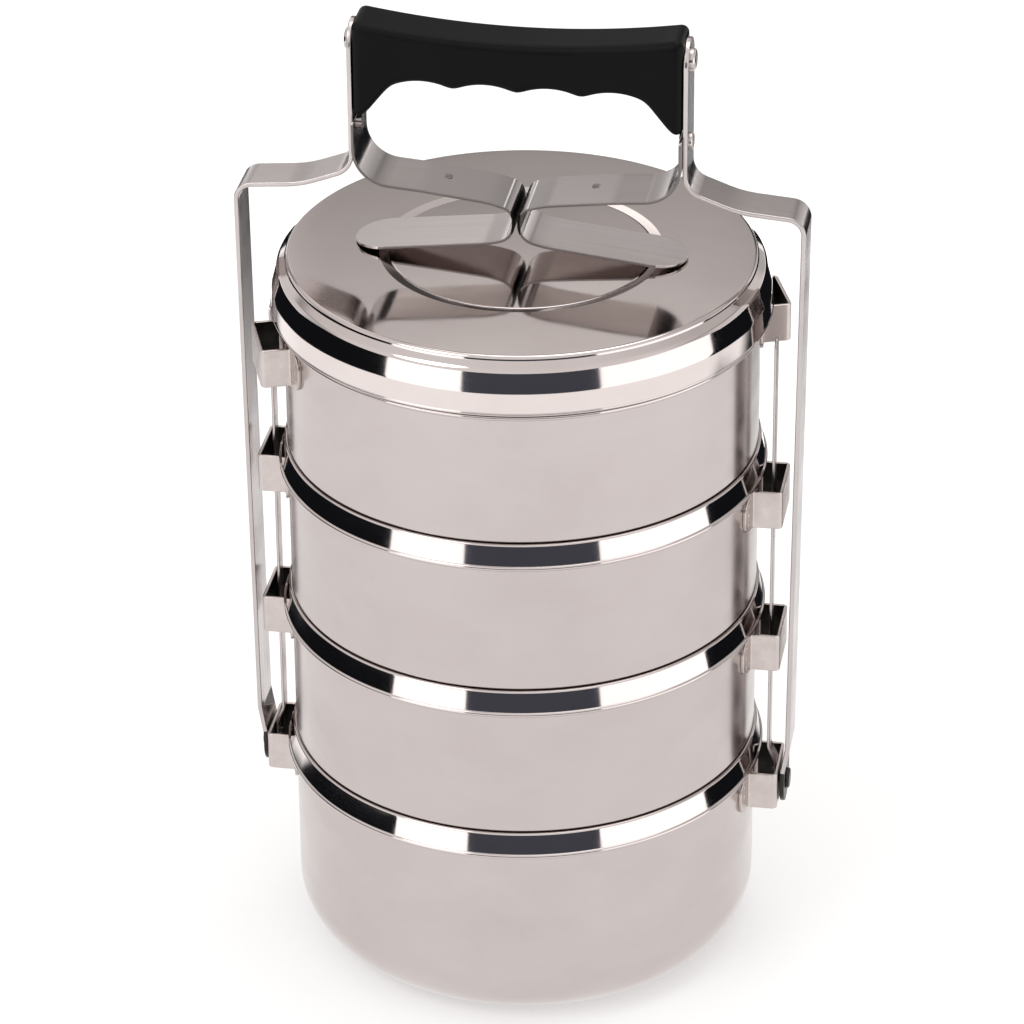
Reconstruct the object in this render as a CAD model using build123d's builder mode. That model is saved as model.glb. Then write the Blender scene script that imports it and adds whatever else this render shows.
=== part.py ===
from build123d import *
import math
import os

os.makedirs("parts", exist_ok=True)

# Millimetres. +Z is up and X runs along the grip. The origin is the centre of the
# lowest container's flat bottom, so the carrier stands on Z = 0.

# Containers: four drawn bowls that nest into one another
container_count = 4
container_radius = 70.0
container_sheet = 0.6
base_height = 69.5
tier_pitch = 48.7
nest_radius = 68.9
nest_depth = 10.0
base_corner_radius = 18.0
tier_corner_radius = 8.0
rim_fold_radius = 0.45
fold_gap = 0.05
nest_jog_below = 0.4
nest_jog_above = 0.7
nest_jog_radius = 0.5
apron_drop = 7.1
apron_flare = 1.9
bead_radius = 0.8

# Lid: a raised flat top, a stamped ring and a sloping skirt
lid_top = 226.8
lid_sheet = 0.7
lid_plate_radius = 69.0
lid_plate_step = 1.2
lid_shoulder_drop = 3.2
lid_skirt_radius = 73.3
lid_band_height = 6.7
lid_rim_z = 210.3
lid_bead_radius = 0.55
ring_radius = 39.0
ring_depth = 0.8
ring_floor_half_width = 0.6
ring_mouth_half_width = 1.4
lid_bend_radii = [0.6, 0.6, 0.6, 0.6, 0.9, 0.6, 3, 6]

# Ears: hat-shaped sheet brackets, two on each container
ear_reach = 79.0
ear_width = 20.0
ear_height = 12.0
ear_sheet = 1.0
ear_drop = 22.0
ear_foot_half_span = 16.5
ear_bend_radius = 1.6
top_ear_turn = 20.0

# Guide bars: flat strips fixed to the lowest ears, running up inside the next ones
bar_width = 5.0
bar_sheet = 0.8
bar_radius = 75.3
bar_top = 203.0
bar_jog_height = 5.0
bar_bend_radius = 3.0

# Carrying frame: two side straps that turn in over the lid and up to the grip
strap_width = 14.0
strap_sheet = 1.4
strap_foot_x = 80.1
strap_shoulder_x = 83.3
shoulder_z = 244.2
arm_bend_x = 64.0
neck_x = 48.7
frame_top = 296.5
foot_joggle_z = 67.0
foot_joggle = 1.5
foot_straight = 12.0
arm_rise = 1.6
neck_rise = 7.3
strap_bend_radii = [6, 6, 5, 30, 7]
pivot_z = 53.0

# Grip: moulded plastic with four finger scallops
grip_half_length = 48.0
grip_depth = 16.0
grip_end_top = 298.3
grip_middle_top = 294.2
grip_end_bottom = 268.5
grip_ridge_z = 278.4
grip_valley_z = 280.6
scallop_length = 18.6
grip_edge_radius = 2.0
grip_leg_width = 3.0
grip_ridge_radius = 4.0
tie_rod_z = 290.0
tie_rod_radius = 2.0
rod_head_radius = 3.4
rod_head_height = 1.5

# Leaf springs: bent strips that hang from the necks and press on the lid
leaf_width = 20.0
leaf_sheet = 0.8
leaf_overlap = 3.5
leaf_bend_z = 249.2
leaf_span = [(28.0, 247.6), (8.0, 245.2)]
leaf_fold = [(0.8, 243.0), (0.8, 234.2)]
leaf_foot = [(8.0, 232.2), (49.0, 227.55)]
leaf_bend_radii = [11, 60, 25, 4.2, 5.6, 25]
spring_rivet_z = 264.5

# Rivets
pivot_radius = 1.5
pivot_clearance = 0.05
pivot_head_radius = 3.2
pivot_head_height = 1.0
pivot_end_play = 0.1
spring_rivet_radius = 1.3
spring_head_radius = 2.6
spring_head_height = 0.9
head_rounding = 0.8
rod_clearance = 0.05
hole_reach = 2.0

container_tops = [base_height + tier_pitch * tier for tier in range(container_count)]
sides = {"left": -1, "right": 1}


def save(builder, name):
    """Label a finished piece and write it under the name of its node."""
    builder.part.label = name
    export_step(builder.part, f"parts/{name}.step")


def container_wall_points(tier):
    """Centre line of one container's sheet, from its axis up to its rim, and the bend radii."""
    half = container_sheet / 2
    wall = container_radius - half
    rim_start = container_tops[tier] - half - rim_fold_radius - fold_gap
    if tier == 0:
        points = [(0, half), (wall, half), (wall, rim_start)]
        return points, [base_corner_radius - half]
    seat = container_tops[tier - 1]
    floor = seat - nest_depth + half
    nest = nest_radius - half
    points = [
        (0, floor),
        (nest, floor),
        (nest, seat - nest_jog_below),
        (wall, seat + nest_jog_above),
        (wall, rim_start),
    ]
    return points, [tier_corner_radius - half, nest_jog_radius, nest_jog_radius]


def make_container(tier):
    """One bowl: wall, folded mouth, sloping apron and rolled bead, turned about Z."""
    half = container_sheet / 2
    wall = container_radius - half
    points, radii = container_wall_points(tier)
    rim_start = points[-1][1]
    fold_top = container_tops[tier] - half
    bead_x = container_radius + apron_flare
    bead_z = container_tops[tier] - apron_drop
    with BuildPart() as container:
        with BuildSketch(Plane.XZ):
            with BuildLine():
                FilletPolyline(*points, radius=radii)
                fold = ThreePointArc(
                    (wall, rim_start),
                    (wall + rim_fold_radius, fold_top),
                    (wall + 2 * rim_fold_radius, rim_start),
                )
                Line(fold @ 1, (bead_x, bead_z))
                offset(amount=half, side=Side.BOTH)
            make_face()
            with Locations((bead_x, bead_z)):
                Circle(bead_radius)
            with Locations((container_radius, fold_top / 2)):
                Rectangle(2 * container_radius, 2 * fold_top, mode=Mode.INTERSECT)
        revolve(axis=Axis.Z)
    return container


def cross_cylinder(radius, height, x_from, x_to, mode=Mode.ADD):
    """Add a cylinder along X to the part being built, or cut one from it."""
    with BuildSketch(Plane.YZ.offset(x_from)) as section:
        with Locations((0, height)):
            Circle(radius)
    extrude(section.sketch, amount=x_to - x_from, mode=mode)


def cross_hole(radius, height, x_from, x_to):
    """Cut a hole along X through the part being built."""
    cross_cylinder(radius, height, x_from, x_to, mode=Mode.SUBTRACT)


def make_ear(tier, side, turn):
    """One hat-shaped bracket, its feet on the wall and its channel open above and below."""
    angle = math.radians(turn if side > 0 else turn + 180)
    bottom = container_tops[tier] - ear_drop
    outward = (math.cos(angle), math.sin(angle), 0)
    ear_plane = Plane(origin=(0, 0, bottom), x_dir=outward, z_dir=(0, 0, 1))
    inner_reach = ear_reach - ear_sheet
    foot_radius = container_radius + ear_sheet
    with BuildPart() as ear:
        with BuildSketch(ear_plane):
            Circle(foot_radius)
            with Locations((foot_radius, 0)):
                Rectangle(foot_radius, 2 * ear_foot_half_span, mode=Mode.INTERSECT)
            with Locations((ear_reach / 2, 0)):
                RectangleRounded(ear_reach, ear_width, ear_bend_radius)
            with Locations((inner_reach / 2, 0)):
                inner_bend = ear_bend_radius - ear_sheet
                RectangleRounded(inner_reach, ear_width - 2 * ear_sheet, inner_bend, mode=Mode.SUBTRACT)
            Circle(container_radius, mode=Mode.SUBTRACT)
        extrude(amount=ear_height)
        if tier == 0:
            cross_hole(pivot_radius, pivot_z, side * (inner_reach - 1), side * (ear_reach + 1))
    return ear


def make_guide_bar(side):
    """Flat strip that stands in the ears, set outward at its foot to lie on the lowest ear."""
    foot_x = ear_reach - ear_sheet - bar_sheet / 2
    foot_z = base_height - ear_drop
    ear_top = foot_z + ear_height
    jog_top = ear_top + bar_jog_height
    path = [(foot_x, foot_z), (foot_x, ear_top), (bar_radius, jog_top), (bar_radius, bar_top)]
    with BuildPart() as bar:
        with BuildSketch(Plane.XZ):
            with BuildLine():
                FilletPolyline(*[(side * x, z) for x, z in path], radius=bar_bend_radius)
                offset(amount=bar_sheet / 2, side=Side.BOTH)
            make_face()
        extrude(amount=bar_width / 2, both=True)
        cross_hole(pivot_radius, pivot_z, side * (foot_x - hole_reach), side * (foot_x + hole_reach))
    return bar


def make_strap(side):
    """Side strap: pivot foot, upright, shoulder, arm over the lid and neck beside the grip."""
    path = [
        (strap_foot_x, pivot_z - strap_width / 2),
        (strap_foot_x, pivot_z - strap_width / 2 + foot_straight),
        (strap_foot_x + foot_joggle, foot_joggle_z),
        (strap_shoulder_x, shoulder_z),
        (arm_bend_x, shoulder_z + arm_rise),
        (neck_x, shoulder_z + neck_rise),
        (neck_x, frame_top),
    ]
    outline_height = frame_top - pivot_z + strap_width
    outline_middle = (frame_top + pivot_z) / 2
    with BuildPart() as strap:
        with BuildSketch(Plane.XZ):
            with BuildLine():
                FilletPolyline(*[(side * x, z) for x, z in path], radius=strap_bend_radii)
                offset(amount=strap_sheet / 2, side=Side.BOTH)
            make_face()
        extrude(amount=strap_width / 2, both=True)
        with BuildSketch(Plane.YZ):
            with Locations((0, outline_middle)):
                SlotOverall(outline_height, strap_width, rotation=90)
        extrude(amount=2 * container_radius, both=True, mode=Mode.INTERSECT)
        foot_start = side * (strap_foot_x - hole_reach)
        foot_end = side * (strap_foot_x + hole_reach)
        cross_hole(pivot_radius + pivot_clearance, pivot_z, foot_start, foot_end)
        neck_start = side * (neck_x - hole_reach)
        neck_end = side * (neck_x + hole_reach)
        cross_hole(spring_rivet_radius, spring_rivet_z, neck_start, neck_end)
        cross_hole(tie_rod_radius, tie_rod_z, neck_start, neck_end)
    return strap


def make_leaf_spring(side):
    """Leaf spring: down from the neck, inward to a fold at the middle, and back out as a foot."""
    leaf_x = neck_x - strap_sheet / 2 - leaf_sheet / 2
    neck = [(leaf_x, spring_rivet_z + leaf_overlap), (leaf_x, leaf_bend_z)]
    path = neck + leaf_span + leaf_fold + leaf_foot
    tip_x = leaf_foot[-1][0]
    with BuildPart() as leaf:
        with BuildSketch(Plane.XZ):
            with BuildLine():
                FilletPolyline(*[(side * x, z) for x, z in path], radius=leaf_bend_radii)
                offset(amount=leaf_sheet / 2, side=Side.BOTH)
            make_face()
        extrude(amount=leaf_width / 2, both=True)
        with BuildSketch(Plane.XY.offset(lid_top)):
            with Locations((side * tip_x, 0)):
                Rectangle(leaf_width, leaf_width + 1)
            with Locations((side * (tip_x - leaf_width / 2), 0)):
                Circle(leaf_width / 2, mode=Mode.SUBTRACT)
        extrude(amount=leaf_fold[-1][1] - lid_top, mode=Mode.SUBTRACT)
        rivet_start = side * (leaf_x - hole_reach)
        rivet_end = side * (leaf_x + hole_reach)
        cross_hole(spring_rivet_radius, spring_rivet_z, rivet_start, rivet_end)
    return leaf


def make_grip():
    """Plastic grip: concave top, deep ends and four scallops for the fingers."""
    slope_x = 2 * scallop_length
    with BuildPart() as grip:
        with BuildSketch(Plane.XZ) as side_view:
            with BuildLine():
                ThreePointArc(
                    (-grip_half_length, grip_end_top),
                    (0, grip_middle_top),
                    (grip_half_length, grip_end_top),
                )
                for side in (-1, 1):
                    end_x = side * grip_half_length
                    leg_x = side * (grip_half_length - grip_leg_width)
                    Line((end_x, grip_end_top), (end_x, grip_end_bottom))
                    Line((end_x, grip_end_bottom), (leg_x, grip_end_bottom))
                    Line((leg_x, grip_end_bottom), (side * slope_x, grip_ridge_z))
                for scallop in range(-2, 2):
                    start = scallop * scallop_length
                    ThreePointArc(
                        (start, grip_ridge_z),
                        (start + scallop_length / 2, grip_valley_z),
                        (start + scallop_length, grip_ridge_z),
                    )
            make_face()
            ridges = side_view.vertices().filter_by_position(Axis.X, -slope_x - 1, slope_x + 1)
            fillet(ridges, radius=grip_ridge_radius)
        extrude(amount=grip_depth / 2, both=True)
        face_outlines = grip.faces().filter_by(Axis.Y).edges()
        fillet(face_outlines, radius=grip_edge_radius)
        cross_hole(tie_rod_radius + rod_clearance, tie_rod_z, -grip_half_length, grip_half_length)
    return grip


def make_rivet_pair(height, shank_radius, shank_from, shank_to, head_radius, head_height):
    """Two mirrored rivets along X, each with a flat inner head and a rounded outer one."""
    with BuildPart() as rivets:
        for side in (-1, 1):
            cross_cylinder(shank_radius, height, side * shank_from, side * shank_to)
            cross_cylinder(head_radius, height, side * (shank_from - head_height), side * shank_from)
            cross_cylinder(head_radius, height, side * shank_to, side * (shank_to + head_height))
        rims = rivets.edges().filter_by(GeomType.CIRCLE).sort_by(Axis.X)
        fillet([rims[0], rims[-1]], radius=head_rounding * head_height)
    return rivets


def make_tie_rod():
    """Rod through the grip with a rounded head outside each neck."""
    neck_face = neck_x + strap_sheet / 2
    with BuildPart() as rod:
        cross_cylinder(tie_rod_radius, tie_rod_z, -neck_face, neck_face)
        for side in (-1, 1):
            head_end = neck_face + rod_head_height
            cross_cylinder(rod_head_radius, tie_rod_z, side * neck_face, side * head_end)
        rims = rod.edges().filter_by(GeomType.CIRCLE).sort_by(Axis.X)
        fillet([rims[0], rims[-1]], radius=head_rounding * rod_head_height)
    return rod


def make_lid():
    """Lid: flat top with a stamped ring, a small step down, a sloping skirt and a rolled edge."""
    half = lid_sheet / 2
    top = lid_top - half
    edge = lid_plate_radius - half
    points = [
        (0, top),
        (ring_radius - ring_mouth_half_width, top),
        (ring_radius - ring_floor_half_width, top - ring_depth),
        (ring_radius + ring_floor_half_width, top - ring_depth),
        (ring_radius + ring_mouth_half_width, top),
        (edge, top),
        (edge + 0.3, top - lid_plate_step),
        (edge + 2.6, top - lid_shoulder_drop),
        (lid_skirt_radius - 0.45, lid_rim_z + lid_band_height),
        (lid_skirt_radius - 0.05, lid_rim_z),
    ]
    with BuildPart() as lid:
        with BuildSketch(Plane.XZ):
            with BuildLine():
                FilletPolyline(*points, radius=lid_bend_radii)
                offset(amount=half, side=Side.BOTH)
            make_face()
            with Locations(points[-1]):
                Circle(lid_bead_radius)
            with Locations((lid_skirt_radius, lid_top)):
                Rectangle(2 * lid_skirt_radius, lid_top, mode=Mode.INTERSECT)
        revolve(axis=Axis.Z)
    return lid


# Containers and their ears. The top container sits turned a little about Z.
for tier in range(container_count):
    number = tier + 1
    save(make_container(tier), f"container_{number}")
    turn = top_ear_turn if number == container_count else 0
    for side_name, side in sides.items():
        save(make_ear(tier, side, turn), f"ear_{number}_{side_name}")

save(make_lid(), "lid")

for side_name, side in sides.items():
    save(make_guide_bar(side), f"guide_bar_{side_name}")
    save(make_strap(side), f"strap_{side_name}")
    save(make_leaf_spring(side), f"leaf_spring_{side_name}")

save(make_grip(), "grip")
save(make_tie_rod(), "tie_rod")

# Rivets: the pivots join bar, ear and strap, the upper ones join leaf spring and strap.
bar_face = ear_reach - ear_sheet - bar_sheet
strap_outside = strap_foot_x + strap_sheet / 2 + pivot_end_play
save(
    make_rivet_pair(
        pivot_z, pivot_radius, bar_face, strap_outside, pivot_head_radius, pivot_head_height
    ),
    "pivot_rivets",
)
leaf_face = neck_x - strap_sheet / 2 - leaf_sheet
neck_outside = neck_x + strap_sheet / 2
save(
    make_rivet_pair(
        spring_rivet_z,
        spring_rivet_radius,
        leaf_face,
        neck_outside,
        spring_head_radius,
        spring_head_height,
    ),
    "spring_rivets",
)
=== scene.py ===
import math

import bmesh
import bpy
from mathutils import Matrix, Vector


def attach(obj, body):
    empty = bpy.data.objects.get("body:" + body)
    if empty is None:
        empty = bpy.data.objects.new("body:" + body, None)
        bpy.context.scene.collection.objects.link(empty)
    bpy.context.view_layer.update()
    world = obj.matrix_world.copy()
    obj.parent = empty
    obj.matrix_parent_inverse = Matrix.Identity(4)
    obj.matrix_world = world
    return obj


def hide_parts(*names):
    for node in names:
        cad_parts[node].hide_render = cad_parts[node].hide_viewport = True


# The visible tiffin carrier round its CAD frame: bowls, lid, ears, guide bars, carrying frame and grip.
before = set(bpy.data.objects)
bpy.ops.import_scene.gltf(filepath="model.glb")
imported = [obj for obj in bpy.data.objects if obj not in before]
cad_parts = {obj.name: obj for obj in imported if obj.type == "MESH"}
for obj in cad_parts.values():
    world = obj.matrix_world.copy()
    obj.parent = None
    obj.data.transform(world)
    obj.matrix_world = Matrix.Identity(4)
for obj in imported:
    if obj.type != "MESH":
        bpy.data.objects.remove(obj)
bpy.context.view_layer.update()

# Sizes are in millimetres until a piece is finished; Blender's unit is the metre.
MM = 0.001

# How finely curves are cut: counts of segments and steps, then steps in degrees.
LATHE_SEGMENTS = 256
MARK_SEGMENTS = 24
BEAD_STEPS = 20
EDGE_STEPS = 3
ARC_STEP = 7.0
END_STEP = 10

# The closest that two sections of a strip may lie, the smallest arc as a share of its corner's radius,
# what counts as nothing, and the distance in metres within which vertices are welded.
CLOSEST_SECTIONS = 0.012
SMALLEST_ARC_SHARE = 0.01
NOTHING = 1e-6
WELD_METRES = 1e-7

# Shares of a small mark's radius and height: a hollow middle, a soft rim and a hidden base.
MARK_PROFILE = [(0, 0.45), (0.5, 0.6), (0.75, 1), (0.9, 0.85), (1, 0.3), (1.02, -0.3), (0, -0.3)]


# ---------------------------------------------------------------- outlines and shapes

def rounded_path(points, radii):
    """Open path through flat points, with an arc of the given radius at each inner corner."""
    points = [Vector(p) for p in points]
    path = [points[0]]
    for corner, radius in enumerate(radii, start=1):
        here = points[corner]
        before = (here - points[corner - 1]).normalized()
        after = (points[corner + 1] - here).normalized()
        turn = before.angle(after)
        start = here - before * radius * math.tan(turn / 2)
        inward = (after - before * before.dot(after)).normalized()
        steps = max(2, math.ceil(math.degrees(turn) / ARC_STEP))
        for i in range(steps + 1):
            angle = turn * i / steps
            sideways = inward * radius * (1 - math.cos(angle))
            path.append(start + sideways + before * radius * math.sin(angle))
    path.append(points[-1])
    return path


def left_normals(path):
    """Normals on the left of an open path, longer at corners so that an offset keeps its distance."""
    directions = [(b - a).normalized() for a, b in zip(path, path[1:])]
    normals = []
    for i in range(len(path)):
        before = directions[max(i - 1, 0)]
        after = directions[min(i, len(directions) - 1)]
        mean = (before + after).normalized()
        normals.append(Vector((-mean.y, mean.x)) / mean.dot(after))
    return normals


def sheet_section(path, half, bead):
    """Outline of a sheet that starts on the axis of a turned piece and ends in a rolled bead."""
    normals = left_normals(path)
    left = [p + n * half for p, n in zip(path[:-1], normals)]
    right = [p - n * half for p, n in zip(path[:-1], normals)]
    end = path[-1]
    along = (end - path[-2]).normalized()
    across = Vector((-along.y, along.x))
    first = math.asin(half / bead)
    roll = []
    for i in range(BEAD_STEPS + 1):
        angle = first + (2 * math.pi - 2 * first) * i / BEAD_STEPS
        roll.append(end + (across * math.sin(angle) - along * math.cos(angle)) * bead)
    return left + roll + right[::-1]


def turned(outline, segments=LATHE_SEGMENTS):
    """Vertices and faces of an outline of (radius, height) points turned about Z."""
    vertices = []
    rings = []
    for radius, height in outline:
        first = len(vertices)
        if radius < NOTHING:
            vertices.append(Vector((0, 0, height)))
            rings.append([first] * segments)
            continue
        for i in range(segments):
            angle = 2 * math.pi * i / segments
            vertices.append(Vector((radius * math.cos(angle), radius * math.sin(angle), height)))
        rings.append(list(range(first, first + segments)))
    faces = []
    for lower, upper in zip(rings, rings[1:]):
        for i in range(segments):
            j = (i + 1) % segments
            corners = list(dict.fromkeys([lower[i], lower[j], upper[j], upper[i]]))
            if len(corners) > 2:
                faces.append(corners)
    return vertices, faces


def loft(sections):
    """Vertices and faces of a closed skin through sections with the same number of points."""
    count = len(sections[0])
    vertices = [point for section in sections for point in section]
    faces = []
    for start in range(0, len(vertices) - count, count):
        for i in range(count):
            j = (i + 1) % count
            faces.append([start + i, start + j, start + count + j, start + count + i])
    faces.append(list(range(count)))
    faces.append(list(range(len(vertices) - count, len(vertices))))
    return vertices, faces


def rounded_box(low, high, radius, inset, corner_steps):
    """Points round a rectangle with rounded corners, drawn in by inset on every side."""
    centre_low = Vector(low) + Vector((radius, radius))
    centre_high = Vector(high) - Vector((radius, radius))
    middle = (Vector(low) + Vector(high)) / 2
    corners = [
        (max(centre_high.x, middle.x), max(centre_high.y, middle.y), 0),
        (min(centre_low.x, middle.x), max(centre_high.y, middle.y), 90),
        (min(centre_low.x, middle.x), min(centre_low.y, middle.y), 180),
        (max(centre_high.x, middle.x), min(centre_low.y, middle.y), 270),
    ]
    arc = max(radius - inset, SMALLEST_ARC_SHARE * radius)
    points = []
    for x, y, start in corners:
        for i in range(corner_steps + 1):
            angle = math.radians(start + 90 * i / corner_steps)
            points.append((x + arc * math.cos(angle), y + arc * math.sin(angle)))
    return points


def end_loss(distance, radius):
    """How far an outline lies inside its full size, this far from an end rounded to radius."""
    if distance >= radius:
        return 0.0
    return radius - math.sqrt(radius**2 - (radius - distance) ** 2)


def strip(path, width, thickness, edge, place, start_radius, end_radius):
    """A bent sheet strip. place turns (along u, along v, across) into a point in space.
    Its corners are rounded to edge, and in outline its two ends to start_radius and end_radius."""
    normals = left_normals(path)
    lengths = [0.0]
    for a, b in zip(path, path[1:]):
        lengths.append(lengths[-1] + (b - a).length)
    total = lengths[-1]
    stations = list(zip(lengths, path, normals))
    for radius in (start_radius, edge):
        for degrees in range(END_STEP, 91, END_STEP):
            stations.append((radius * (1 - math.cos(math.radians(degrees))), None, None))
    for radius in (end_radius, edge):
        for degrees in range(END_STEP, 91, END_STEP):
            stations.append((total - radius * (1 - math.cos(math.radians(degrees))), None, None))
    stations.sort(key=lambda station: station[0])
    narrowest = 1.2 * edge
    sections = []
    last = -1.0
    for s, point, normal in stations:
        if s - last < CLOSEST_SECTIONS and total - s > NOTHING:
            continue
        last = s
        if point is None:
            i = max(k for k in range(len(path) - 1) if lengths[k] <= s)
            direction = (path[i + 1] - path[i]).normalized()
            point = path[i] + direction * (s - lengths[i])
            normal = Vector((-direction.y, direction.x))
        half = width / 2 - end_loss(s, start_radius) - end_loss(total - s, end_radius)
        half = max(half, narrowest)
        inset = max(end_loss(s, edge), end_loss(total - s, edge))
        outline = rounded_box((-half, -thickness / 2), (half, thickness / 2), edge, inset, EDGE_STEPS)
        section = []
        for across, out in outline:
            flat = point + normal * out
            section.append(Vector(place(flat.x, flat.y, across)))
        sections.append(section)
    return loft(sections)


def disc(radius, height, matrix):
    """A small round mark with a soft rim and a slightly hollow middle, standing on a surface."""
    outline = [(share * radius, rise * height) for share, rise in MARK_PROFILE]
    vertices, faces = turned(outline, MARK_SEGMENTS)
    return [matrix @ v for v in vertices], faces


def merged(*shapes):
    """Several shapes as one."""
    vertices = []
    faces = []
    for more_vertices, more_faces in shapes:
        offset = len(vertices)
        vertices += more_vertices
        faces += [[offset + i for i in face] for face in more_faces]
    return vertices, faces


def make_piece(name, shape, material, body, slot, *nodes, others=()):
    """A finished piece from a shape in millimetres, riding on a body in place of CAD nodes.
    others holds pairs of a material and a test of a face's middle that gives it that material."""
    vertices, faces = shape
    mesh = bpy.data.meshes.new(name)
    mesh.from_pydata([v * MM for v in vertices], [], faces)
    form = bmesh.new()
    form.from_mesh(mesh)
    bmesh.ops.remove_doubles(form, verts=form.verts, dist=WELD_METRES)
    bmesh.ops.recalc_face_normals(form, faces=form.faces)
    form.to_mesh(mesh)
    form.free()
    mesh.shade_smooth()
    mesh.materials.append(material)
    for index, (other, belongs) in enumerate(others, start=1):
        mesh.materials.append(other)
        for polygon in mesh.polygons:
            if belongs(polygon.center / MM):
                polygon.material_index = index
    piece = bpy.data.objects.new(name, mesh)
    bpy.context.scene.collection.objects.link(piece)
    weighting = piece.modifiers.new("weighted_normals", "WEIGHTED_NORMAL")
    weighting.mode = "FACE_AREA_WITH_ANGLE"
    weighting.weight = 100
    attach(piece, body)
    if nodes:
        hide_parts(*nodes)


# ---------------------------------------------------------------- materials

def add_node(tree, kind, inputs=None, **settings):
    """A new node with its settings, and with each input linked to a socket or set to a value."""
    made = tree.nodes.new(kind)
    for key, value in settings.items():
        setattr(made, key, value)
    for key, value in (inputs or {}).items():
        if isinstance(value, bpy.types.NodeSocket):
            tree.links.new(value, made.inputs[key])
        else:
            made.inputs[key].default_value = value
    return made


class Nodes:
    """Short calls for building one material's node tree."""

    def __init__(self, name):
        self.material = bpy.data.materials.new(name)
        self.material.use_nodes = True
        self.tree = self.material.node_tree
        self.shader = self.tree.nodes["Principled BSDF"]
        self.coordinates = self.tree.nodes.new("ShaderNodeTexCoord").outputs["Object"]

    def node(self, kind, inputs=None, **settings):
        return add_node(self.tree, kind, inputs, **settings)

    def stretched(self, factors):
        """Object coordinates, each multiplied by its own factor."""
        scaled = self.node("ShaderNodeVectorMath", {0: self.coordinates, 1: factors}, operation="MULTIPLY")
        return scaled.outputs["Vector"]

    def round_coordinates(self, factors):
        """Radius, height and angle about Z, each multiplied by its own factor."""
        split = self.node("ShaderNodeSeparateXYZ", {0: self.coordinates})
        flat = self.node(
            "ShaderNodeVectorMath", {0: self.coordinates, 1: (1, 1, 0)}, operation="MULTIPLY"
        )
        length = self.node("ShaderNodeVectorMath", {0: flat.outputs[0]}, operation="LENGTH")
        radius = length.outputs["Value"]
        angle = self.node(
            "ShaderNodeMath", {0: split.outputs["Y"], 1: split.outputs["X"]}, operation="ARCTAN2"
        ).outputs[0]
        joined = self.node("ShaderNodeCombineXYZ", {"X": radius, "Y": split.outputs["Z"], "Z": angle})
        return self.node(
            "ShaderNodeVectorMath", {0: joined.outputs[0], 1: factors}, operation="MULTIPLY"
        ).outputs["Vector"]

    def noise(self, vector, scale=1.0, detail=2.0, roughness=0.5):
        return self.node(
            "ShaderNodeTexNoise",
            {"Vector": vector, "Scale": scale, "Detail": detail, "Roughness": roughness},
        ).outputs["Fac"]

    def spread(self, value, low, high, start=0.3, end=0.7):
        """value from start..end mapped to low..high."""
        return self.node(
            "ShaderNodeMapRange",
            {"Value": value, "From Min": start, "From Max": end, "To Min": low, "To Max": high},
        ).outputs["Result"]

    def tint(self, value, first, second):
        """A colour between two, by value. The first may be another node's colour."""
        first = first if isinstance(first, bpy.types.NodeSocket) else (*first, 1.0)
        mix = self.node("ShaderNodeMix", {"Factor": value, 6: first, 7: (*second, 1.0)}, data_type="RGBA")
        return mix.outputs[2]

    def add(self, a, b):
        return self.node("ShaderNodeMath", {0: a, 1: b}, operation="ADD").outputs[0]

    def times(self, a, b):
        return self.node("ShaderNodeMath", {0: a, 1: b}, operation="MULTIPLY").outputs[0]

    def finish(self, colour, roughness, height, depth_mm):
        bump = self.node("ShaderNodeBump", {"Height": height, "Distance": depth_mm * MM, "Strength": 1.0})
        self.tree.links.new(colour, self.shader.inputs["Base Color"])
        self.tree.links.new(roughness, self.shader.inputs["Roughness"])
        self.tree.links.new(bump.outputs["Normal"], self.shader.inputs["Normal"])
        return self.material


STEEL_LIGHT = (0.60, 0.545, 0.53)
STEEL_DARK = (0.56, 0.50, 0.485)

# How many times a pattern repeats in a metre, for each coordinate, or in a radian for the angle.
FINE_RINGS = (1900, 1900, 1.2)
BROAD_RINGS = (160, 160, 0.6)
TALL_SMUDGES = (1, 1, 1.6)
LONG_GRAIN = (25, 2600, 25)
LONG_STREAKS = (14, 420, 14)

# Painted shade at the top of a strip: over how many mm it starts, how much of it shows and how dark it is.
SHADE_FADE = 3
SHADE_SHARE = 0.85
SHADE_LEVEL = 0.72


def turned_steel(name, roughness, spread, depth_mm):
    """Stainless sheet polished while it turned: fine rings, faint smudges and handling haze."""
    nodes = Nodes(name)
    nodes.shader.inputs["Metallic"].default_value = 1.0
    rings = nodes.noise(nodes.round_coordinates(FINE_RINGS), detail=3)
    bands = nodes.noise(nodes.round_coordinates(BROAD_RINGS), detail=2)
    haze = nodes.noise(nodes.stretched(TALL_SMUDGES), scale=28, detail=4, roughness=0.6)
    colour = nodes.tint(nodes.spread(haze, 0, 1), STEEL_LIGHT, STEEL_DARK)
    rough = nodes.add(
        nodes.spread(haze, roughness - spread, roughness + spread), nodes.spread(bands, 0, spread)
    )
    height = nodes.add(rings, nodes.times(bands, 2.0))
    return nodes.finish(colour, rough, height, depth_mm)


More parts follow.
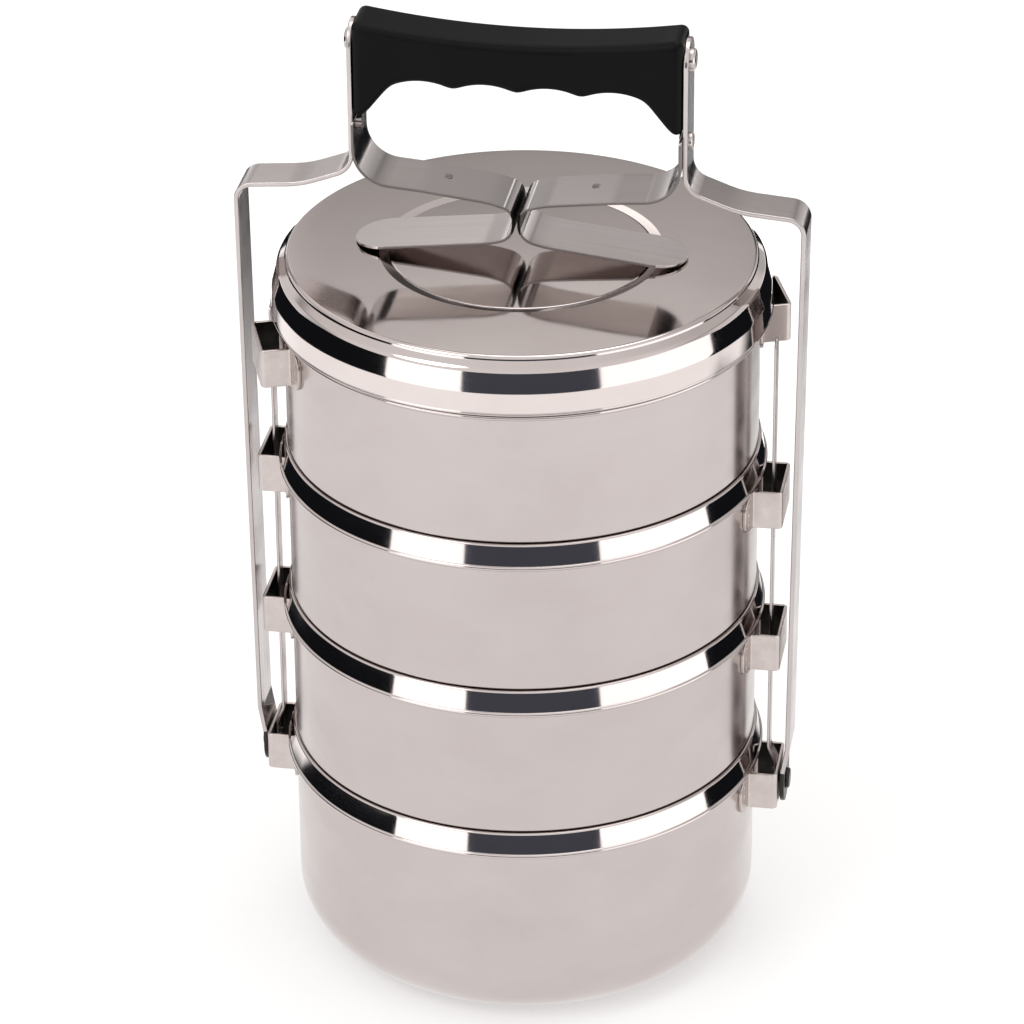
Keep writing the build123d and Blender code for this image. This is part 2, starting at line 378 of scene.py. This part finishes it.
def strip_steel(name, roughness, spread, depth_mm, light, dark, shade_above=None):
    """Cold-rolled strip: grain along its length, at right angles to Y. Darker above a height in mm, as
    painted shade.
    """
    nodes = Nodes(name)
    nodes.shader.inputs["Metallic"].default_value = 1.0
    grain = nodes.noise(nodes.stretched(LONG_GRAIN), detail=3)
    streaks = nodes.noise(nodes.stretched(LONG_STREAKS), detail=2)
    haze = nodes.noise(nodes.coordinates, scale=60, detail=3)
    colour = nodes.tint(nodes.spread(nodes.add(streaks, haze), 0, 1, 0.7, 1.3), light, dark)
    if shade_above:
        shaded = tuple(SHADE_LEVEL * c for c in dark)
        height = nodes.node("ShaderNodeSeparateXYZ", {0: nodes.coordinates}).outputs["Z"]
        share = nodes.spread(height, 0, 1, (shade_above - SHADE_FADE) * MM, (shade_above + SHADE_FADE) * MM)
        colour = nodes.tint(nodes.times(share, SHADE_SHARE), colour, shaded)
    rough = nodes.add(
        nodes.spread(haze, roughness - spread, roughness + spread), nodes.spread(streaks, 0, spread)
    )
    return nodes.finish(colour, rough, nodes.add(grain, streaks), depth_mm)


def satin_steel(name, roughness, spread, depth_mm, light, dark):
    """Pressed sheet with an even satin surface and small mottling."""
    nodes = Nodes(name)
    nodes.shader.inputs["Metallic"].default_value = 1.0
    fine = nodes.noise(nodes.coordinates, scale=2200, detail=3)
    mottle = nodes.noise(nodes.coordinates, scale=240, detail=4, roughness=0.6)
    colour = nodes.tint(nodes.spread(mottle, 0, 1), light, dark)
    rough = nodes.spread(mottle, roughness - spread, roughness + spread)
    return nodes.finish(colour, rough, nodes.add(fine, mottle), depth_mm)


def moulded_plastic(name, specular, smooth, rough, depth_mm, light, dark):
    """Moulded plastic with a fine spark-eroded texture and rubbed patches, between two roughnesses."""
    nodes = Nodes(name)
    nodes.shader.inputs["Specular IOR Level"].default_value = specular
    fine = nodes.noise(nodes.coordinates, scale=1500, detail=3)
    cells = nodes.node(
        "ShaderNodeTexVoronoi", {"Vector": nodes.coordinates, "Scale": 1100.0}
    ).outputs["Distance"]
    rubbed = nodes.noise(nodes.coordinates, scale=45, detail=3)
    colour = nodes.tint(nodes.spread(rubbed, 0, 1), light, dark)
    height = nodes.add(fine, nodes.times(cells, 0.8))
    return nodes.finish(colour, nodes.spread(rubbed, smooth, rough), height, depth_mm)


# Turned steel: roughness, its spread and the depth of the texture in mm.
wall_steel = turned_steel("wall_steel", 0.2, 0.03, 0.0015)
rim_steel = turned_steel("rim_steel", 0.06, 0.015, 0.0003)
lid_steel = turned_steel("lid_steel", 0.06, 0.02, 0.0004)

# Strip and pressed steel: the same, and the two base colours of its streaks or mottling. The near-black
# steel painted as shade inside the ears also serves the gap between the leaf springs' folds, and the
# strap ends' painted shade serves the pivot rivets.
spring_steel = strip_steel("spring_steel", 0.2, 0.05, 0.003, (0.585, 0.54, 0.53), (0.53, 0.485, 0.475))
# The leaf springs are painted darker above 239 mm, as shade under the grip.
leaf_steel = strip_steel(
    "leaf_steel", 0.16, 0.04, 0.0025, (0.66, 0.61, 0.60), (0.60, 0.55, 0.54), shade_above=239
)
# Painted light: a near-white, rougher copy of the leaf steel for the upper spans' undersides, so that
# their reflection in the lid shows bright.
painted_light_underside = strip_steel("painted_light_underside", 0.5, 0.06, 0.003, (0.93, 0.9, 0.88), (0.87, 0.84, 0.82))
# Painted shade: dark steel on the leaf springs' sheared edges.
painted_shade_edge_steel = strip_steel("painted_shade_edge_steel", 0.35, 0.06, 0.003, (0.26, 0.235, 0.23), (0.2, 0.18, 0.175))
# Painted shade: near-black steel on the strap ends below the joggle, and on the pivot rivets.
painted_shade_tab_steel = strip_steel("painted_shade_tab_steel", 0.3, 0.05, 0.003, (0.05, 0.045, 0.044), (0.035, 0.032, 0.031))
bar_steel = strip_steel("bar_steel", 0.26, 0.05, 0.0035, (0.62, 0.57, 0.56), (0.56, 0.51, 0.50))
ear_steel = satin_steel("ear_steel", 0.3, 0.05, 0.004, (0.63, 0.565, 0.54), (0.57, 0.505, 0.48))
# Painted shade: near-black steel on the faces inside the ears and in the gap between the leaf springs'
# folds.
painted_shade_steel = satin_steel("painted_shade_steel", 0.45, 0.06, 0.006, (0.026, 0.023, 0.021), (0.012, 0.011, 0.0105))
mark_steel = satin_steel("mark_steel", 0.4, 0.06, 0.004, (0.30, 0.26, 0.25), (0.2, 0.175, 0.17))
rivet_steel = satin_steel("rivet_steel", 0.22, 0.05, 0.003, (0.60, 0.56, 0.54), (0.53, 0.49, 0.47))

# Plastic: specular level, roughness where it is rubbed and where not, depth in mm and two colours.
black_plastic = moulded_plastic(
    "black_plastic", 0.09, 0.36, 0.5, 0.02, (0.0028, 0.0028, 0.003), (0.0048, 0.0047, 0.0049)
)


# ---------------------------------------------------------------- containers

container_radius = 70.0
sheet_half = 0.3
base_height = 69.5
base_corner = 18
tier_pitch = 48.7
nest_radius = 68.9
nest_depth = 10.0
nest_corner = 8
step_below = 0.4
step_above = 0.7
step_corner = 0.5
rim_fold_radius = 0.45
fold_step = 15
apron_drop = 7.1
apron_flare = 1.9
bead_radius = 0.8
container_tops = [base_height + tier_pitch * tier for tier in range(4)]
bodies = ["base", "tier_2", "tier_3", "tier_4"]

# Slack of the tests that tell which faces of a piece get its other material.
off_wall = 0.02
below_bead = 0.1
round_channel = 0.05


def container_shape(tier):
    """Bowl from its middle over the wall to the folded mouth, apron and bead."""
    top = container_tops[tier]
    wall = container_radius - sheet_half
    rim_start = top - sheet_half - rim_fold_radius
    if tier == 0:
        points = [(0, sheet_half), (wall, sheet_half), (wall, rim_start)]
        radii = [base_corner - sheet_half]
    else:
        seat = container_tops[tier - 1]
        floor = seat - nest_depth + sheet_half
        nest = nest_radius - sheet_half
        points = [(0, floor), (nest, floor), (nest, seat - step_below)]
        points += [(wall, seat + step_above), (wall, rim_start)]
        radii = [nest_corner - sheet_half, step_corner, step_corner]
    path = rounded_path(points, radii)
    for degrees in range(fold_step, 181, fold_step):
        angle = math.radians(degrees)
        x = wall + rim_fold_radius * (1 - math.cos(angle))
        path.append(Vector((x, rim_start + rim_fold_radius * math.sin(angle))))
    path.append(Vector((container_radius + apron_flare, top - apron_drop)))
    return turned(sheet_section(path, sheet_half, bead_radius))


for tier, body in enumerate(bodies):
    number = tier + 1
    lowest = container_tops[tier] - apron_drop - bead_radius - below_bead

    def on_rim(middle, lowest=lowest):
        """Whether a point lies on the polished apron, bead or outer half of the fold."""
        return math.hypot(middle.x, middle.y) > container_radius + off_wall and middle.z > lowest

    make_piece(
        f"bowl_{number}",
        container_shape(tier),
        wall_steel,
        body,
        "polished_steel",
        f"container_{number}",
        others=[(rim_steel, on_rim)],
    )


# ---------------------------------------------------------------- lid

lid_top = 226.8
lid_half = 0.35
lid_rim_z = 210.3
plate_radius = 69.0
ring_radius = 39.0
plate_crown = 0.35
disc_crown = 0.25
plate_spacing = 4
skirt_radius = 72.85
skirt_height = 6.7
lid_rim_radius = 73.25
lid_bead_radius = 0.55

# The stamped ring, outward from its radius and down, then the stepped shoulder from the plate's edge.
ring_offsets = [(-0.7, 0), (-0.4, 0.22), (-0.1, 0.22), (2.6, 0)]
shoulder_offsets = [(0.3, 1.2), (2.6, 3.2)]
lid_corner_radii = [0.4, 0.25, 0.5, 3, 0.9, 0.6, 3, 6]


def lid_shape():
    """Lid from its middle over the stamped ring, the step and the skirt to the rolled edge."""
    top = lid_top - lid_half
    edge = plate_radius - lid_half
    points = [(0, top)]
    points += [(ring_radius + outward, top - down) for outward, down in ring_offsets]
    points.append((edge, top))
    points += [(edge + outward, top - down) for outward, down in shoulder_offsets]
    points += [(skirt_radius, lid_rim_z + skirt_height), (lid_rim_radius, lid_rim_z)]
    path = rounded_path(points, lid_corner_radii)
    crowned = []
    for point in path:
        if point.x < edge:
            drop = plate_crown * (point.x / edge) ** 2
            if point.x <= ring_radius:
                drop += disc_crown * (point.x / ring_radius) ** 2
        else:
            drop = plate_crown * (point.y - lid_rim_z) / (top - lid_rim_z)
        crowned.append(Vector((point.x, point.y - drop)))
    plate = []
    for a, b in zip(crowned, crowned[1:]):
        on_plate = a.x < edge - plate_spacing
        pieces = max(1, round((b.x - a.x) / plate_spacing)) if on_plate else 1
        for i in range(pieces):
            x = a.x + (b.x - a.x) * i / pieces
            z = a.y + (b.y - a.y) * i / pieces
            if pieces > 1:
                z = a.y + (b.y - a.y) * (x**2 - a.x**2) / (b.x**2 - a.x**2)
            plate.append(Vector((x, z)))
    plate.append(crowned[-1])
    return turned(sheet_section(plate, lid_half, lid_bead_radius))


make_piece("lid_cover", lid_shape(), lid_steel, "lid", "polished_steel", "lid")


# ---------------------------------------------------------------- ears and guide bars

ear_reach = 79.0
ear_width = 20.0
ear_height = 12.0
ear_sheet = 1.0
ear_drop = 22.0
ear_edge = 0.3
ear_end_radius = 4.5
ear_bend_radii = [9, 5, 1.2, 1.1]
channel_start = 71.1
top_ear_turn = 20.0
sides = {"left": -1, "right": 1}

# In degrees round the wall: a foot's tip, and how far its bends lie from the tip and from the leg.
foot_tip = 13.5
bend_from_tip = 2
bend_from_leg = 1.6

weld_radius = 0.85
weld_height = 0.16
weld_from_tip = 2.4
weld_spacing = 3.2


def ear_shape(tier, angle):
    """Hat-shaped bracket with curved feet on the wall and a row of weld marks on each foot."""
    foot = container_radius + ear_sheet / 2
    leg = ear_width / 2 - ear_sheet / 2
    front = ear_reach - ear_sheet / 2
    root = math.degrees(math.asin(leg / foot))
    angles = [math.radians(a) for a in (foot_tip, foot_tip - bend_from_tip, root + bend_from_leg)]
    half_points = [(foot * math.cos(a), -foot * math.sin(a)) for a in angles]
    half_points += [(foot * math.cos(math.radians(root)), -leg), (front, -leg)]
    points = half_points + [(x, -y) for x, y in reversed(half_points)]
    path = rounded_path(points, ear_bend_radii + ear_bend_radii[::-1])
    middle = container_tops[tier] - ear_drop + ear_height / 2
    turn = Matrix.Rotation(angle, 4, "Z")

    def place(u, v, across):
        return turn @ Vector((u, v, middle + across))

    band = strip(path, ear_height, ear_sheet, ear_edge, place, ear_end_radius, ear_end_radius)
    facing_out = Matrix.Rotation(math.pi / 2, 4, "Y")
    marks = []
    for side in (-1, 1):
        to_foot = Matrix.Rotation(angle + side * math.radians(foot_tip - weld_from_tip), 4, "Z")
        for height in (-weld_spacing, 0.0, weld_spacing):
            on_foot = Matrix.Translation((foot + ear_sheet / 2, 0, middle + height))
            marks.append(disc(weld_radius, weld_height, to_foot @ on_foot @ facing_out))
    return merged(band, *marks)


for tier, body in enumerate(bodies):
    number = tier + 1
    turn = top_ear_turn if number == 4 else 0.0
    for side_name, side in sides.items():
        angle = math.radians(turn if side > 0 else turn + 180)
        name = f"ear_{number}_{side_name}"
        back = Matrix.Rotation(-angle, 3, "Z")

        def in_channel(middle, back=back):
            """Whether a point lies on the faces inside the ear, between its legs, which are painted
            near-black as shade.
            """
            local = back @ middle
            between_legs = abs(local.y) < ear_width / 2 - ear_sheet + round_channel
            return between_legs and channel_start < local.x < ear_reach - ear_sheet + round_channel

        make_piece(
            f"bracket_{number}_{side_name}",
            ear_shape(tier, angle),
            ear_steel,
            body,
            "pressed_steel",
            name,
            others=[(painted_shade_steel, in_channel)],
        )


def upright(side):
    """Place for a strip bent in the XZ plane, mirrored for the left side."""

    def place(u, v, across):
        return (side * u, across, v)

    return place


bar_width = 5
bar_sheet = 0.8
bar_edge = 0.22
bar_foot_radius = 0.8
bar_tip_radius = 2.4
bar_bend_radius = 3
bar_x = 75.3
bar_top = 203
jog_height = 5
foot_x = ear_reach - ear_sheet - bar_sheet / 2
foot_z = base_height - ear_drop
jog_z = foot_z + ear_height
bar_path = rounded_path(
    [(foot_x, foot_z), (foot_x, jog_z), (bar_x, jog_z + jog_height), (bar_x, bar_top)],
    [bar_bend_radius, bar_bend_radius],
)
for side_name, side in sides.items():
    bar = strip(bar_path, bar_width, bar_sheet, bar_edge, upright(side), bar_foot_radius, bar_tip_radius)
    make_piece(f"bar_{side_name}", bar, bar_steel, "base", "pressed_steel", f"guide_bar_{side_name}")


# ---------------------------------------------------------------- carrying frame

strap_width = 14
strap_sheet = 1.4
strap_edge = 0.35
strap_end_radius = 7
tab_top = 59
strap_path = rounded_path(
    [(80.1, 46), (80.1, 58), (81.6, 67), (83.3, 244.2), (64, 245.8), (48.7, 251.5), (48.7, 296.5)],
    [6, 6, 5, 30, 7],
)

leaf_width = 20.0
leaf_sheet = 0.8
leaf_edge = 0.22
leaf_root_radius = 1.5
leaf_tip_radius = 10
leaf_neck = (47.6, 249.2)
leaf_middle = (28, 247.6)
leaf_inner = (8, 245.2)
leaf_path = rounded_path(
    [(47.6, 268), leaf_neck, leaf_middle, leaf_inner, (0.8, 243), (0.8, 234.2), (8, 232.2), (49, 227.4)],
    [11, 60, 25, 4.2, 5.6, 25],
)
sheared_depth = 0.2
fold_reach = 1.4
fold_bottom = 236
fold_top = 243.6

# The upper span's underside, painted light: from the fold to the neck, and its depths below the middle of
# the sheet.
span_start = 3
span_end = 43
underside_from = 0.25
underside_to = 1.0

leaf_mark_radius = 1.5
leaf_mark_height = 0.12
leaf_mark_at = (22, 2, 247.28)


def under_span(middle):
    """Whether a point lies on the underside of a leaf spring's upper span, which is painted light."""
    x = abs(middle.x)
    if not span_start < x < span_end:
        return False
    (x0, z0), (x1, z1) = (leaf_inner, leaf_middle) if x < leaf_middle[0] else (leaf_middle, leaf_neck)
    height = z0 + (z1 - z0) * (x - x0) / (x1 - x0)
    return height - underside_to < middle.z < height - underside_from


def on_tab(middle):
    """Whether a point lies on the end of a strap below its joggle, painted near-black as shade."""
    return middle.z < tab_top


def in_fold(middle):
    """Whether a point lies in the narrow gap where the two leaf springs' folds face each other, painted
    near-black as shade.
    """
    return abs(middle.x) < fold_reach and fold_bottom < middle.z < fold_top


def on_edge(middle):
    """Whether a point lies on a sheared edge of a leaf spring, painted dark as shade."""
    return abs(middle.y) > leaf_width / 2 - sheared_depth


for side_name, side in sides.items():
    place = upright(side)
    strap = strip(
        strap_path, strap_width, strap_sheet, strap_edge, place, strap_end_radius, strap_end_radius
    )
    make_piece(
        f"side_strap_{side_name}",
        strap,
        spring_steel,
        "frame",
        "spring_steel",
        f"strap_{side_name}",
        others=[(painted_shade_tab_steel, on_tab)],
    )
    leaf = strip(leaf_path, leaf_width, leaf_sheet, leaf_edge, place, leaf_root_radius, leaf_tip_radius)
    make_piece(
        f"leaf_{side_name}",
        leaf,
        leaf_steel,
        "frame",
        "spring_steel",
        f"leaf_spring_{side_name}",
        others=[(painted_light_underside, under_span), (painted_shade_edge_steel, on_edge), (painted_shade_steel, in_fold)],
    )
    mark_x, mark_y, mark_z = leaf_mark_at
    mark_place = Matrix.Translation((side * mark_x, mark_y, mark_z))
    mark = disc(leaf_mark_radius, leaf_mark_height, mark_place)
    make_piece(f"leaf_mark_{side_name}", mark, mark_steel, "frame", "spring_steel")


# ---------------------------------------------------------------- grip

grip_half_length = 48.0
grip_half_depth = 8.0
grip_radius = 2.6
grip_sections = 96
grip_corner_steps = 6
grip_end_step = 15
grip_end_gap = 0.3

# Heights of its top at the middle and the ends, then the outline of its underside.
top_middle = 294.2
top_end = 298.3
leg_inner_x = 45
leg_bottom = 268.5
slope_top = 278.4
scallop = 18.6
scallop_arc = 20.76
scallop_crest = 280.6

# The underside is averaged along X: samples on each side, their spacing and the spread of their weights.
window_half = 4
window_step = 0.6
softness = 1.3


def grip_underside(x):
    """Height of the underside before its ridges are softened: end legs, slopes and scallops."""
    x = abs(x)
    if x > leg_inner_x:
        return leg_bottom
    slope_end = 2 * scallop
    if x > slope_end:
        return leg_bottom + (leg_inner_x - x) / (leg_inner_x - slope_end) * (slope_top - leg_bottom)
    centre = scallop / 2 if x < scallop else 1.5 * scallop
    return scallop_crest - (scallop_arc - math.sqrt(scallop_arc**2 - (x - centre) ** 2))


def grip_shape():
    """Grip lofted along X, softly rounded at its ends."""
    stations = [grip_half_length * (i / grip_sections * 2 - 1) for i in range(1, grip_sections)]
    end_angles = [math.radians(degrees) for degrees in range(0, 91, grip_end_step)]
    rounding = [grip_half_length - grip_radius * (1 - math.cos(a)) for a in end_angles]
    stations = [x for x in stations if abs(x) < rounding[-1] - grip_end_gap]
    stations += rounding + [-x for x in rounding]
    window = [window_step * k for k in range(-window_half, window_half + 1)]
    weights = [math.exp(-((d / softness) ** 2) / 2) for d in window]
    sections = []
    for x in sorted(stations):
        top = top_middle + (top_end - top_middle) * (x / grip_half_length) ** 2
        bottom = sum(w * grip_underside(x + d) for w, d in zip(weights, window)) / sum(weights)
        inset = end_loss(grip_half_length - abs(x), grip_radius)
        low = (-grip_half_depth, bottom)
        high = (grip_half_depth, top)
        outline = rounded_box(low, high, grip_radius, inset, grip_corner_steps)
        sections.append([Vector((x, y, z)) for y, z in outline])
    return loft(sections)


make_piece("grip_body", grip_shape(), black_plastic, "frame", "black_plastic", "grip")


# ---------------------------------------------------------------- rivets and rod, as in the CAD

# The pivot rivets take the strap ends' painted shade.
kept_nodes = {"pivot_rivets": painted_shade_tab_steel, "spring_rivets": rivet_steel, "tie_rod": rivet_steel}
for name, material in kept_nodes.items():
    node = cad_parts[name]
    node.data.materials.clear()
    node.data.materials.append(material)


# ---------------------------------------------------------------- stage

def stage_mesh(name, vertices, faces, material):
    """A mesh that belongs to the stage, and that polished faces don't mirror."""
    mesh = bpy.data.meshes.new(name)
    mesh.from_pydata(vertices, [], faces)
    mesh.materials.append(material)
    made = bpy.data.objects.new(name, mesh)
    bpy.context.scene.collection.objects.link(made)
    made.visible_glossy = False
    return made


# The paper gives off a little light, which keeps the contact shadow faint.
paper = Nodes("floor_paint")
paper.shader.inputs["Base Color"].default_value = (0.62, 0.617, 0.615, 1.0)
paper.shader.inputs["Emission Color"].default_value = (1.0, 1.0, 1.0, 1.0)
paper.shader.inputs["Emission Strength"].default_value = 0.4
paper.shader.inputs["Roughness"].default_value = 0.9
paper.shader.inputs["Specular IOR Level"].default_value = 0.1
floor_half = 9.0
floor_corners = [(x * floor_half, y * floor_half, 0) for x, y in ((-1, -1), (1, -1), (1, 1), (-1, 1))]
stage_mesh("floor", floor_corners, [(0, 1, 2, 3)], paper.material)

# Paper all round, for angles that look past the floor's end. It lights nothing and casts no shadow.
sweep_radius = 8.9
sweep_height = 5.0
sweep_steps = 96
turns = [2 * math.pi * i / sweep_steps for i in range(sweep_steps)]
posts = []
for a in turns:
    x = sweep_radius * math.cos(a)
    y = sweep_radius * math.sin(a)
    posts += [(x, y, 0), (x, y, sweep_height)]
fields = [(i, i + 1, (i + 3) % len(posts), (i + 2) % len(posts)) for i in range(0, len(posts), 2)]
sweep = stage_mesh("sweep", posts, fields, paper.material)
sweep.visible_diffuse = False
sweep.visible_shadow = False


# ---------------------------------------------------------------- light

world = bpy.data.worlds.new("studio")
bpy.context.scene.world = world
world.use_nodes = True
background = world.node_tree.nodes["Background"]


def sky_node(kind, inputs=None, **settings):
    return add_node(world.node_tree, kind, inputs, **settings)


def sky_range(value, start, end, low=0.0, high=1.0):
    """value from start..end mapped to low..high."""
    return sky_node(
        "ShaderNodeMapRange",
        {"Value": value, "From Min": start, "From Max": end, "To Min": low, "To Max": high},
    ).outputs["Result"]


def sky_math(operation, *values):
    return sky_node("ShaderNodeMath", dict(enumerate(values)), operation=operation).outputs[0]


def sky_mix(factor, first, second, blend="MIX"):
    mix = sky_node(
        "ShaderNodeMix", {"Factor": factor, 6: first, 7: second}, data_type="RGBA", blend_type=blend
    )
    return mix.outputs[2]


def sky_ramp(value, stops, interpolation="LINEAR"):
    """A colour by a value from 0 to 1, through stops of a position and a colour."""
    ramp = sky_node("ShaderNodeValToRGB", {"Fac": value})
    ramp.color_ramp.interpolation = interpolation
    elements = ramp.color_ramp.elements
    while len(elements) < len(stops):
        elements.new(0.5)
    for element, (position, colour) in zip(elements, stops):
        element.position = position
        element.color = colour
    return ramp.outputs["Color"]


def warm(stops):
    """Stops of a position and a level as stops of a position and a slightly warm grey."""
    return [(position, (level, 0.985 * level, 0.975 * level, 1.0)) for position, level in stops]


# The dome is painted by direction: east, north and up are the parts of a unit vector.
direction = sky_node("ShaderNodeTexCoord").outputs["Generated"]
split = sky_node("ShaderNodeSeparateXYZ", {0: direction})
east, north, up = (split.outputs[axis] for axis in "XYZ")

# Above the horizon the front is nearly even. The back darkens downwards. It is brightest in a bar to the
# left, and a little darker on the right.
front_by_height = [(0.0, 0.9), (0.3, 1.1), (1.0, 1.0)]
back_by_height = [(0.0, 0.08), (0.31, 0.10), (0.38, 0.40), (0.41, 0.53)]
back_by_height += [(0.437, 0.64), (0.468, 0.86), (0.50, 1.0), (1.0, 1.02)]
back_by_side = [(0.17, 0.9), (0.22, 1.25), (0.24, 1.85), (0.27, 1.75)]
back_by_side += [(0.3, 0.92), (0.39, 1.0), (0.42, 0.8), (0.55, 0.74)]
front_sky = sky_ramp(up, warm(front_by_height))
back_sky = sky_ramp(up, warm(back_by_height))
side_sky = sky_ramp(sky_range(east, -0.5, 0.5), warm(back_by_side))
back_sky = sky_mix(1.0, back_sky, side_sky, blend="MULTIPLY")
sky = sky_mix(sky_range(north, -0.2, 0.3), front_sky, back_sky)

# Low at the back, the dome is brighter further to the left and right.
to_side = sky_math("ABSOLUTE", east)
low_back = sky_math("MULTIPLY", sky_range(up, 0.34, 0.40, 1.0, 0.0), sky_range(north, 0.0, 0.3))
sky = sky_mix(sky_math("MULTIPLY", low_back, sky_range(to_side, 0.2, 0.28)), sky, (0.62, 0.61, 0.60, 1.0))
sky = sky_mix(sky_math("MULTIPLY", low_back, sky_range(to_side, 0.4, 0.48)), sky, (0.95, 0.94, 0.93, 1.0))

# Below the horizon it stands in for the floor: brighter towards the horizon than straight down.
ground = sky_mix(sky_range(up, -0.44, -0.42), (1.03, 1.02, 1.015, 1.0), (1.45, 1.44, 1.43, 1.0))
sky = sky_mix(sky_range(up, -0.02, 0.0, 1.0, 0.0), sky, ground)

# A band of dark and white studio panels round the horizon, by azimuth from -Y towards +X, in degrees.
slate_panel = (0.078, 0.085, 0.108, 1.0)
black_panel = (0.008, 0.009, 0.011, 1.0)
white_panel = (2.0, 2.0, 2.0, 1.0)
panels_from = [
    (-180, white_panel),
    (-160, black_panel),
    (-53, white_panel),
    (-17.5, slate_panel),
    (43, white_panel),
    (100, black_panel),
    (174, white_panel),
]
azimuth_share = sky_range(
    sky_math("ARCTAN2", east, sky_math("MULTIPLY", north, -1.0)), -math.pi, math.pi
)
panel_stops = [((start + 180) / 360, colour) for start, colour in panels_from]
panels = sky_ramp(azimuth_share, panel_stops, interpolation="CONSTANT")

# The band's lower and upper edges, both softened over soft_edge, drop towards the back.
soft_edge = 0.02
bottom = sky_math("ADD", sky_range(north, -0.5, 0.3, -0.25, -0.38), sky_range(north, 0.5, 0.8, 0.0, -0.08))
top = sky_range(north, 0.0, 0.3, 0.22, -0.05)
above_bottom = sky_range(sky_math("SUBTRACT", up, bottom), 0.0, soft_edge)
below_top = sky_range(sky_math("SUBTRACT", top, up), 0.0, soft_edge)
sky = sky_mix(sky_math("MULTIPLY", above_bottom, below_top), sky, panels)
world.node_tree.links.new(sky, background.inputs["Color"])
background.inputs["Strength"].default_value = 1.0


def area_light(name, location, target, size, power):
    """A round light, size metres wide, aimed at a target."""
    data = bpy.data.lights.new(name, "AREA")
    data.shape = "DISK"
    data.size = size
    data.energy = power
    made = bpy.data.objects.new(name, data)
    made.location = location
    made.rotation_mode = "QUATERNION"
    made.rotation_quaternion = (Vector(target) - Vector(location)).to_track_quat("-Z", "Y")
    bpy.context.scene.collection.objects.link(made)


area_light("key_light", (-1.1, -1.3, 1.9), (0, 0, 0.12), 1.2, 10)
area_light("top_light", (0.3, 0.4, 2.3), (0, 0, 0.1), 1.6, 12)


# ---------------------------------------------------------------- camera

# Found by fitting the photo: the camera looks past orbit_centre, to a point a little left and up.
azimuth = math.radians(9.702)
elevation = math.radians(29.174)
roll = math.radians(-0.508)
distance = 1556.7 * MM
orbit_centre = Vector((0, 0, 130)) * MM
aim_left = 3.5
aim_height = 138.8
aim = Vector((-aim_left * math.cos(azimuth), -aim_left * math.sin(azimuth), aim_height)) * MM
reach = math.cos(elevation)
away = Vector((math.sin(azimuth) * reach, -math.cos(azimuth) * reach, math.sin(elevation)))
camera_data = bpy.data.cameras.new("camera")
camera_data.sensor_width = 36.0
camera_data.lens = 182.06
camera_data.clip_start = 0.05
camera_data.clip_end = 50.0
camera = bpy.data.objects.new("camera", camera_data)
camera.location = orbit_centre + away * distance
camera.rotation_mode = "QUATERNION"
level = (aim - camera.location).to_track_quat("-Z", "Y")
camera.rotation_quaternion = level @ Matrix.Rotation(roll, 4, "Z").to_quaternion()
bpy.context.scene.collection.objects.link(camera)
bpy.context.scene.camera = camera
bpy.context.scene.view_settings.view_transform = "Standard"


# ---------------------------------------------------------------- update

bpy.context.view_layer.update()
